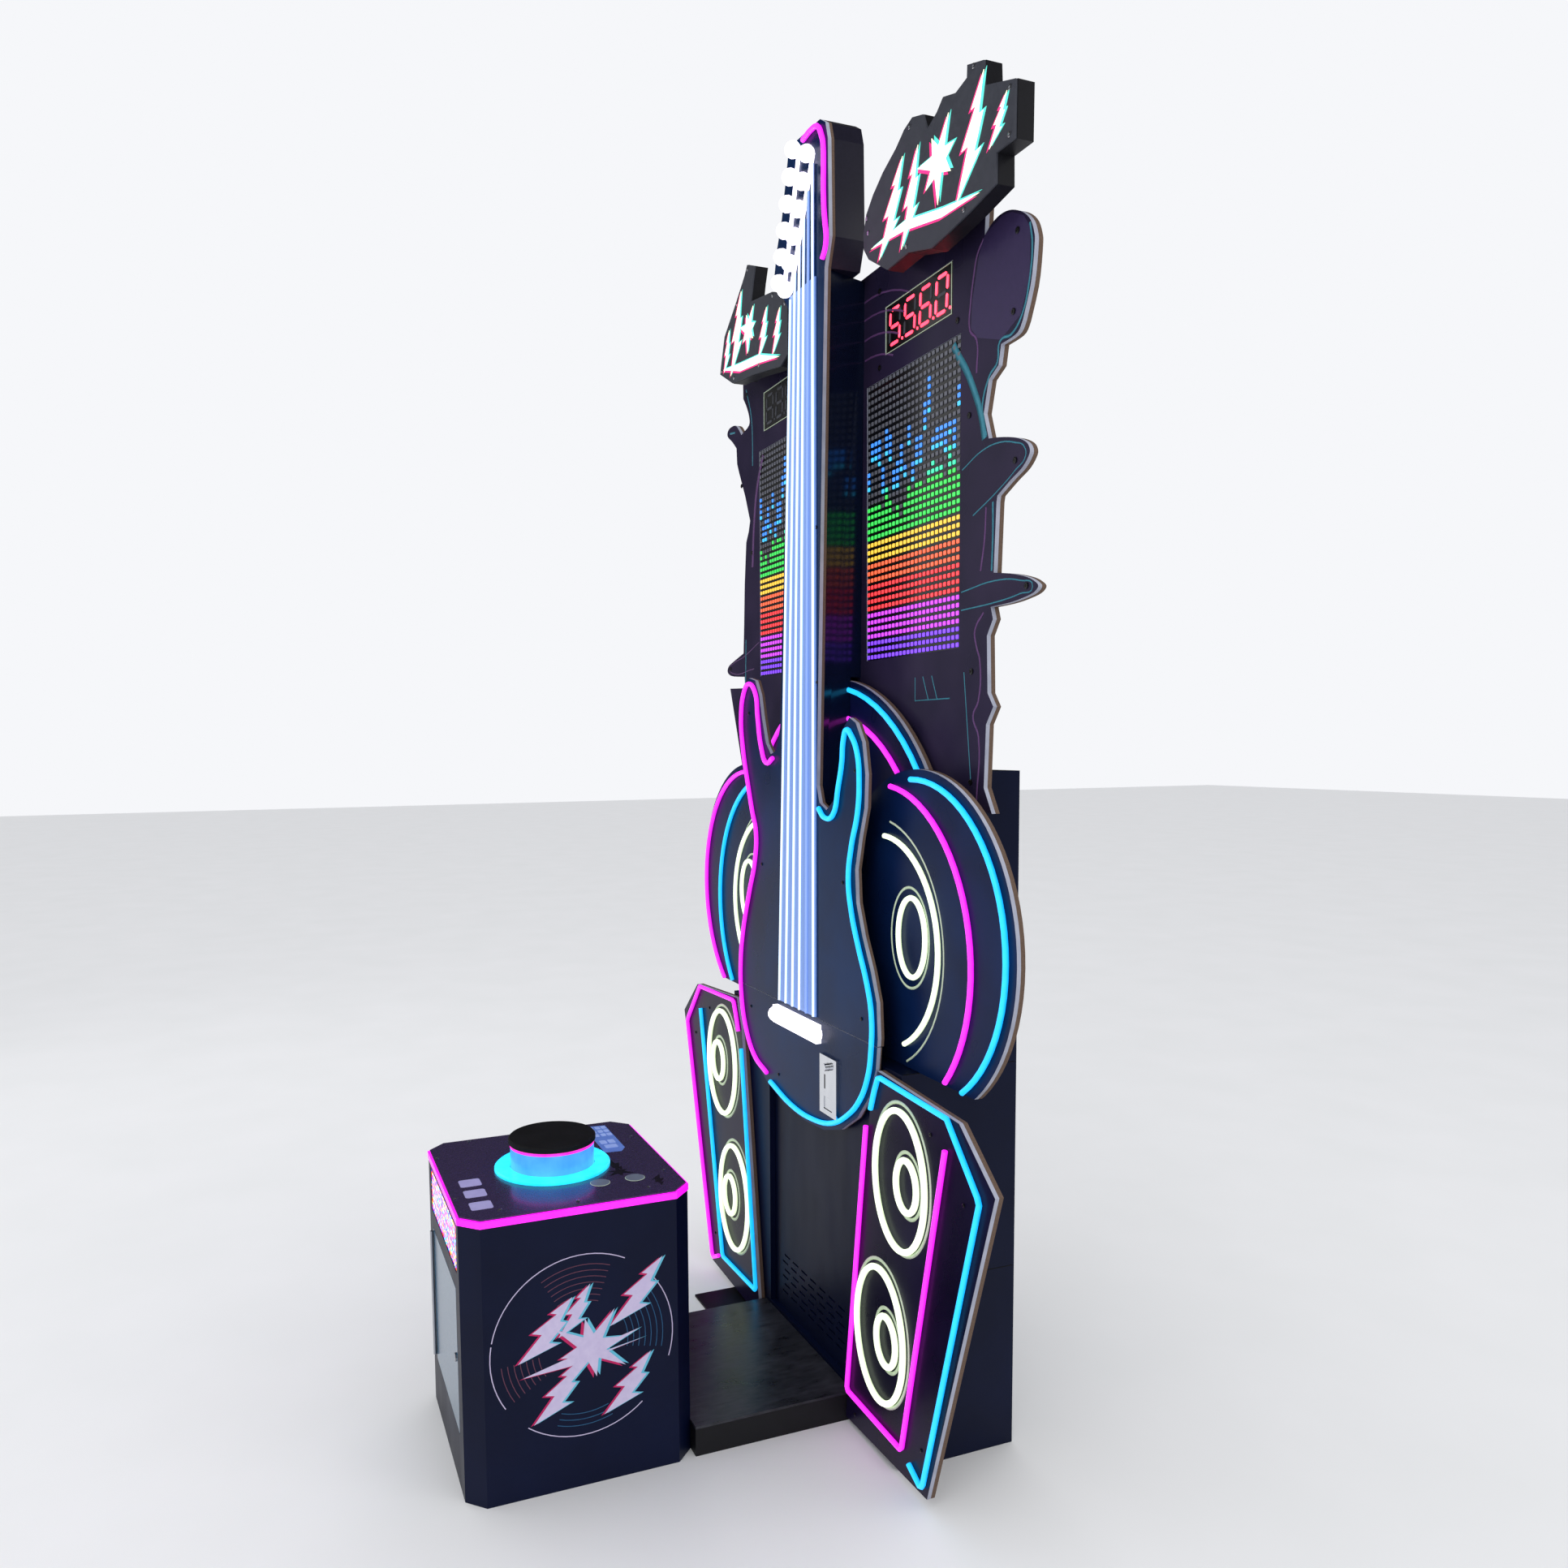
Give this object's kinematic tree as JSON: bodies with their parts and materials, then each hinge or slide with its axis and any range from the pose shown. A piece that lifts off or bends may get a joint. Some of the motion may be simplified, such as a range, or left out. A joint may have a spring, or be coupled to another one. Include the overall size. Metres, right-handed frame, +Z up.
{
  "type": "guitar-themed strike game tower",
  "caption": "Tall light tower shaped as a guitar with speaker boards, light boards and display wings, and a podium with a sprung strike pad on a low platform.",
  "frame": {"origin": "on the floor, at the middle of the whole machine's width and depth", "axes": "+Z up, +Y towards the back of the tower, +X to the player's right; the player stands at -Y"},
  "size_m": [1.684, 1.182, 2.938],
  "materials": {
    "navy_laminate": "near-black navy laminate on board, satin",
    "printed_board": "board with a dark gloss printed face",
    "black_steel": "black powder coat, satin",
    "zinc_steel": "zinc plated",
    "chrome_metal": "polished chrome",
    "bronze": "turned, oiled",
    "pad_rubber": "matt black",
    "teal_panel": "dark tinted sheet lit from behind",
    "band_acrylic": "frosted acrylic lit magenta",
    "cyan_acrylic": "frosted acrylic lit cyan",
    "skirt_acrylic": "translucent blue acrylic",
    "rim_acrylic": "frosted acrylic lit magenta",
    "display_screen": "tinted display window",
    "top_overlay": "glossy printed overlay",
    "display_panel": "black display face",
    "sign_acrylic": "charcoal sign face",
    "sign_metal": "black powder coat",
    "lamp_plastic": "frosted white, lit",
    "string_plastic": "frosted white tube, lit",
    "neck_gloss": "gloss black sheet",
    "head_gloss": "satin black sheet",
    "dark_plastic": "moulded black plastic",
    "green_board": "circuit board",
    "red_plastic": "moulded red plastic"
  },
  "bodies": {
    "machine": {"podium_cabinet": "navy_laminate", "podium_door_hinge": "zinc_steel", "podium_display": "display_screen", "edge_light_band": "band_acrylic", "top_plate": "top_overlay", "light_flange": "cyan_acrylic", "plunger_bracket": "black_steel", "shaft_bush": "bronze", "return_spring": "zinc_steel", "strike_sensor": "green_board", "platform_deck": "black_steel", "platform_frame": "black_steel", "side_foot_plate": "black_steel", "tower_cabinet": "navy_laminate", "rear_door_hinge": "zinc_steel", "upper_cabinet": "navy_laminate", "front_vent_panel": "navy_laminate", "loudspeaker_left": "dark_plastic", "loudspeaker_right": "dark_plastic", "power_supply": "zinc_steel", "control_board": "green_board", "coin_box": "zinc_steel", "fan_frame": "dark_plastic", "power_inlet": "dark_plastic", "speaker_board_right": "printed_board", "speaker_board_left": "printed_board", "round_board_right": "printed_board", "round_board_left": "printed_board", "wing_board_right": "printed_board", "wing_board_left": "printed_board", "led_matrix_right": "display_panel", "led_matrix_left": "display_panel", "score_display_right": "display_panel", "score_display_left": "display_panel", "sign_box_right": "sign_metal", "sign_box_left": "sign_metal", "sign_face_right": "sign_acrylic", "sign_face_left": "sign_acrylic", "centre_disc": "printed_board", "guitar_board": "printed_board", "guitar_lower_board": "printed_board", "neck_box": "neck_gloss", "head_box": "head_gloss", "string_lights": "string_plastic", "head_lamps": "lamp_plastic", "bridge_lamps": "lamp_plastic", "coin_plate": "chrome_metal", "coin_validator": "dark_plastic"},
    "strike_pad_unit": {"strike_pad": "pad_rubber", "pad_rim_light": "rim_acrylic", "pad_skirt": "skirt_acrylic", "plunger_shaft": "chrome_metal"},
    "podium_door": {"podium_door": "teal_panel"},
    "podium_door_lock": {"podium_door_lock": "zinc_steel"},
    "rear_door": {"rear_door": "navy_laminate"},
    "rear_door_lock": {"rear_door_lock": "zinc_steel"},
    "fan_rotor": {"fan_rotor": "dark_plastic"},
    "power_rocker": {"power_rocker": "red_plastic"},
    "reject_button": {"reject_button": "chrome_metal"},
    "coin_return_flap": {"coin_return_flap": "chrome_metal"}
  },
  "joints": [
    {"name": "pad_press", "type": "slide", "parent": "machine", "child": "strike_pad_unit", "axis": [0, 0, -1], "range_m": [0, 0.015], "stiffness_N_per_m": 4000, "springref_m": -0.02, "deforming": ["return_spring"]},
    {"name": "podium_door_swing", "type": "hinge", "parent": "machine", "child": "podium_door", "pos_m": [-0.173, -0.5875, 0.28], "axis": [0, 0, -1], "range_deg": [0, 100]},
    {"name": "podium_lock_turn", "type": "hinge", "parent": "podium_door", "child": "podium_door_lock", "pos_m": [0.148, -0.576, 0.28], "axis": [0, 1, 0], "range_deg": [0, 90]},
    {"name": "rear_door_swing", "type": "hinge", "parent": "machine", "child": "rear_door", "pos_m": [-0.203, 0.5875, 0.75], "axis": [0, 0, 1], "range_deg": [0, 100]},
    {"name": "rear_lock_turn", "type": "hinge", "parent": "rear_door", "child": "rear_door_lock", "pos_m": [0.176, 0.576, 0.75], "axis": [0, 1, 0], "range_deg": [0, 90]},
    {"name": "fan_spin", "type": "hinge", "parent": "machine", "child": "fan_rotor", "pos_m": [0.25, 0.5582, 1.37], "axis": [0, 1, 0], "continuous": true},
    {"name": "power_switch", "type": "hinge", "parent": "machine", "child": "power_rocker", "pos_m": [0.354, 0.5815, 0.115], "axis": [1, 0, 0], "range_deg": [0, 12]},
    {"name": "reject_press", "type": "slide", "parent": "machine", "child": "reject_button", "axis": [0, 1, 0], "range_m": [0, 0.005], "stiffness_N_per_m": 400, "springref_m": -0.003},
    {"name": "return_flap_swing", "type": "hinge", "parent": "machine", "child": "coin_return_flap", "pos_m": [0.177, 0.2752, 0.7395], "axis": [1, 0, 0], "range_deg": [0, 60]}
  ]
}
